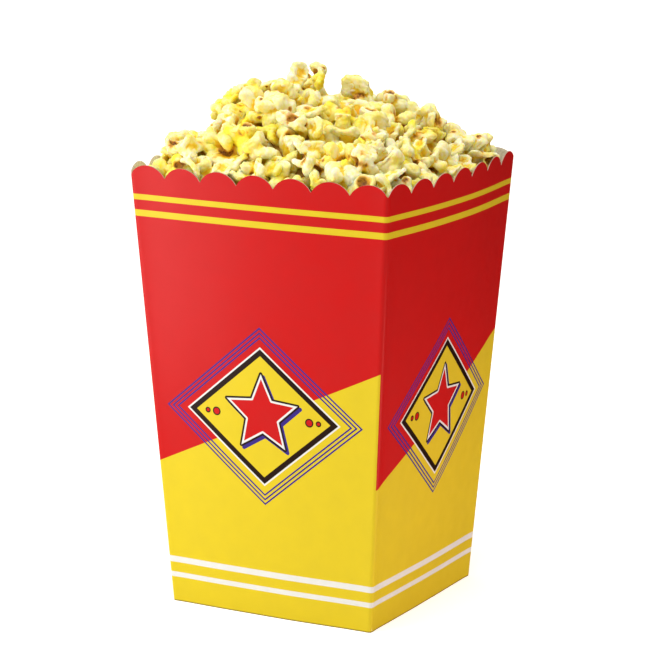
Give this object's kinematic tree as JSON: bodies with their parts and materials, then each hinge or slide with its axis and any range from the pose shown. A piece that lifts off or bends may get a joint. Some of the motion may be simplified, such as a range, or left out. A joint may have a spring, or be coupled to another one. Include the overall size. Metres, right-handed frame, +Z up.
{
  "type": "filled popcorn carton",
  "caption": "Tapered square card carton with a scalloped rim, filled with buttered popcorn that is heaped above the rim.",
  "frame": {"origin": "on the floor, under the middle of the carton's base", "axes": "+Z up, out of the open top; -Y is the front panel, which is the wide left one in the picture, and +X the right one"},
  "size_m": [0.1854, 0.1774, 0.3299],
  "materials": {
    "printed_card": "satin",
    "popped_corn": "matte"
  },
  "bodies": {
    "root": {"carton": "printed_card", "popcorn": "popped_corn"}
  },
  "joints": []
}
